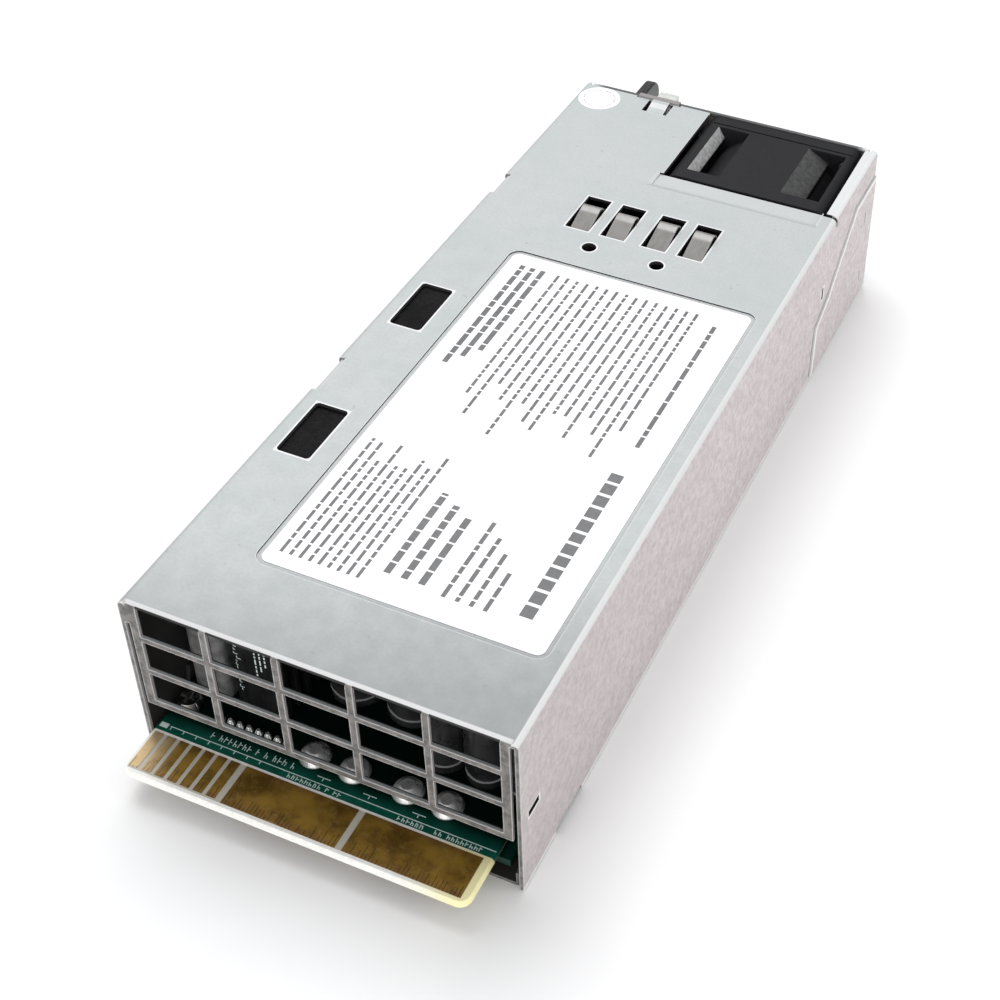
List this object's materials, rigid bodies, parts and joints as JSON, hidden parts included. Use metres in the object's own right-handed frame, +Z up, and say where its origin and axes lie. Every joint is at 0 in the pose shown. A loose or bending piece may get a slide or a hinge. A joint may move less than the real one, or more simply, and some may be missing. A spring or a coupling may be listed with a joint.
{
  "type": "hot swap server power supply",
  "caption": "Sheet-metal hot swap power supply module with grille and card edge at one end, fan, inlet and latch at the other.",
  "frame": {"origin": "centre of the case on its bottom face", "axes": "+Y along the case towards the inlet and fan end, +X across, +Z up through the roof"},
  "size_m": [0.0764, 0.2169, 0.0392],
  "materials": {
    "cover_steel": "zinc plated steel, satin",
    "label": "white film label",
    "film": "black insulating film",
    "spring_steel": "stainless spring sheet",
    "fan_plastic": "black glass-filled plastic",
    "lamination": "stacked laminations",
    "wire_steel": "plated wire",
    "screw_steel": "plated screws",
    "black_plastic": "moulded black plastic",
    "brass": "nickel plated brass",
    "lens": "translucent light pipe",
    "board": "glass-epoxy laminate with solder mask",
    "contact": "gold flashed copper",
    "solder": "tinned solder",
    "sleeve": "shrink sleeve over aluminium",
    "ferrite": "sintered ferrite",
    "winding": "taped winding",
    "copper": "enamelled copper wire",
    "heatsink": "dark anodised extrusion",
    "package": "moulded epoxy",
    "film_capacitor": "potted box",
    "lead": "insulated wire"
  },
  "bodies": {
    "chassis": {"base_tray": "cover_steel", "board_screws": "screw_steel", "board_standoffs": "screw_steel", "boost_choke_core": "ferrite", "boost_choke_winding": "copper", "bulk_capacitor": "sleeve", "control_board": "board", "edge_board": "board", "edge_contacts_bottom": "contact", "edge_contacts_top": "contact", "fan_frame": "fan_plastic", "fan_guard": "wire_steel", "fan_header": "lead", "fan_lead": "lead", "fan_screws": "screw_steel", "fan_stator": "lamination", "filter_capacitor": "film_capacitor", "fuse": "package", "ground_spring_left": "spring_steel", "ground_spring_right": "spring_steel", "inlet_blades": "brass", "inlet_board": "board", "inlet_socket": "black_plastic", "insulation_film": "film", "latch_foot": "spring_steel", "latch_rivets": "screw_steel", "main_board": "board", "mains_choke_core": "ferrite", "mains_choke_winding": "copper", "output_capacitors": "sleeve", "output_choke": "ferrite", "power_transistors": "package", "primary_heatsink": "heatsink", "rating_label": "label", "rear_panel": "cover_steel", "relay": "black_plastic", "seal_sticker": "label", "secondary_heatsink": "heatsink", "solder_joints": "solder", "status_lens": "lens", "top_cover": "cover_steel", "transformer_core": "ferrite", "transformer_winding": "winding"},
    "latch": {"latch_spring": "spring_steel", "latch_tab": "black_plastic"},
    "handle": {"pull_handle": "wire_steel"},
    "fan_rotor": {"fan_impeller": "fan_plastic"}
  },
  "joints": [
    {"name": "latch_flex", "type": "hinge", "parent": "chassis", "child": "latch", "pos_m": [-0.0352, 0.03215, 0.019], "axis": [0, 0, -1], "range_deg": [0, 3.6], "stiffness_Nm_per_rad": 6, "springref_deg": -1.15},
    {"name": "handle_swing", "type": "hinge", "parent": "chassis", "child": "handle", "pos_m": [0.0148, 0.0968, 0.0304], "axis": [1, 0, 0], "range_deg": [0, 100]},
    {"name": "fan_spin", "type": "hinge", "parent": "chassis", "child": "fan_rotor", "pos_m": [0.0148, 0.0777, 0.019], "axis": [0, 1, 0], "continuous": true}
  ]
}
